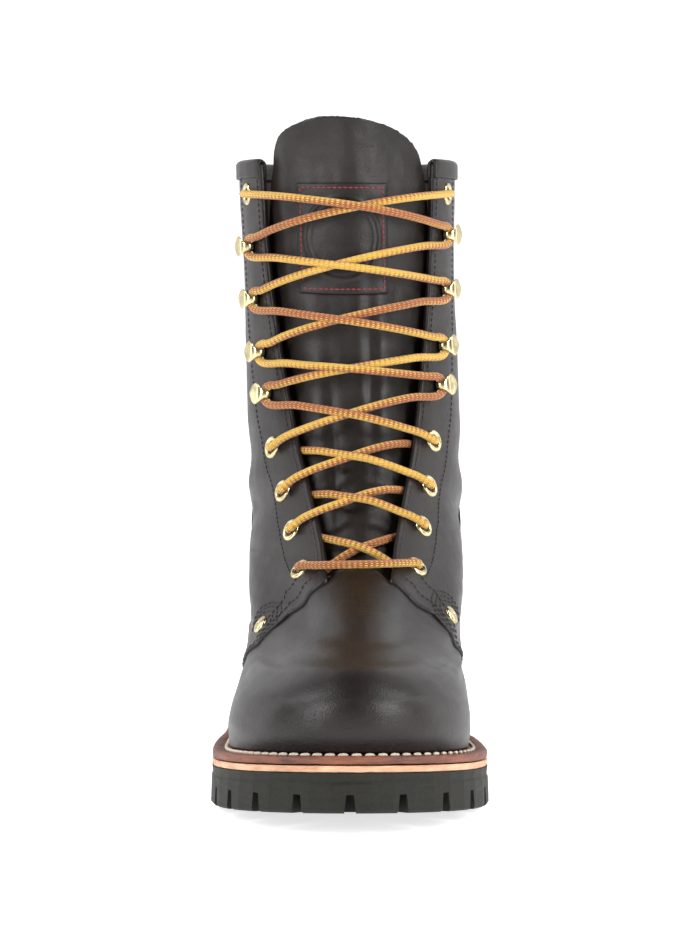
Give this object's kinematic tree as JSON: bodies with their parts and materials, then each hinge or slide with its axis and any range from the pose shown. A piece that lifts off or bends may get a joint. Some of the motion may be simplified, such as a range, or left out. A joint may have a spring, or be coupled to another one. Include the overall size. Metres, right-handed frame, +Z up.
{
  "type": "logger boot",
  "caption": "Tall lace-up logger boot in black oiled leather with a stitched welt, lugged rubber sole, high raked heel, speed hooks and a braided lace.",
  "frame": {"origin": "middle of the boot's box at the ground", "axes": "+X towards the medial side of a right foot, -Y towards the toe, +Z up"},
  "size_m": [0.1135, 0.3058, 0.2818],
  "materials": {
    "leather": "oiled",
    "leather_edge": "matte",
    "tongue_leather": "soft matte",
    "insole_leather": "matte",
    "welt_leather": "waxed",
    "midsole_leather": "matte",
    "rubber": "matte",
    "brass": "polished",
    "lace_cord": "braided"
  },
  "bodies": {
    "root": {"outsole": "rubber", "heel": "rubber", "midsole": "midsole_leather", "welt": "welt_leather", "insole": "insole_leather", "upper": "leather", "tongue": "tongue_leather", "heel_counter": "leather", "collar_binding": "leather_edge", "eyelet_4_lateral": "brass", "eyelet_3_lateral": "brass", "eyelet_2_lateral": "brass", "eyelet_1_lateral": "brass", "eyelet_top_lateral": "brass", "hook_4_lateral": "brass", "hook_3_lateral": "brass", "hook_2_lateral": "brass", "hook_1_lateral": "brass", "rivet_lateral": "brass", "eyelet_4_medial": "brass", "eyelet_3_medial": "brass", "eyelet_2_medial": "brass", "eyelet_1_medial": "brass", "eyelet_top_medial": "brass", "hook_4_medial": "brass", "hook_3_medial": "brass", "hook_2_medial": "brass", "hook_1_medial": "brass", "rivet_medial": "brass", "lace_bar": "lace_cord", "lace_cross_1": "lace_cord", "lace_cross_2": "lace_cord", "lace_cross_3": "lace_cord", "lace_cross_4": "lace_cord", "lace_cross_5": "lace_cord", "lace_cross_6": "lace_cord", "lace_cross_7": "lace_cord", "lace_cross_8": "lace_cord"}
  },
  "joints": []
}
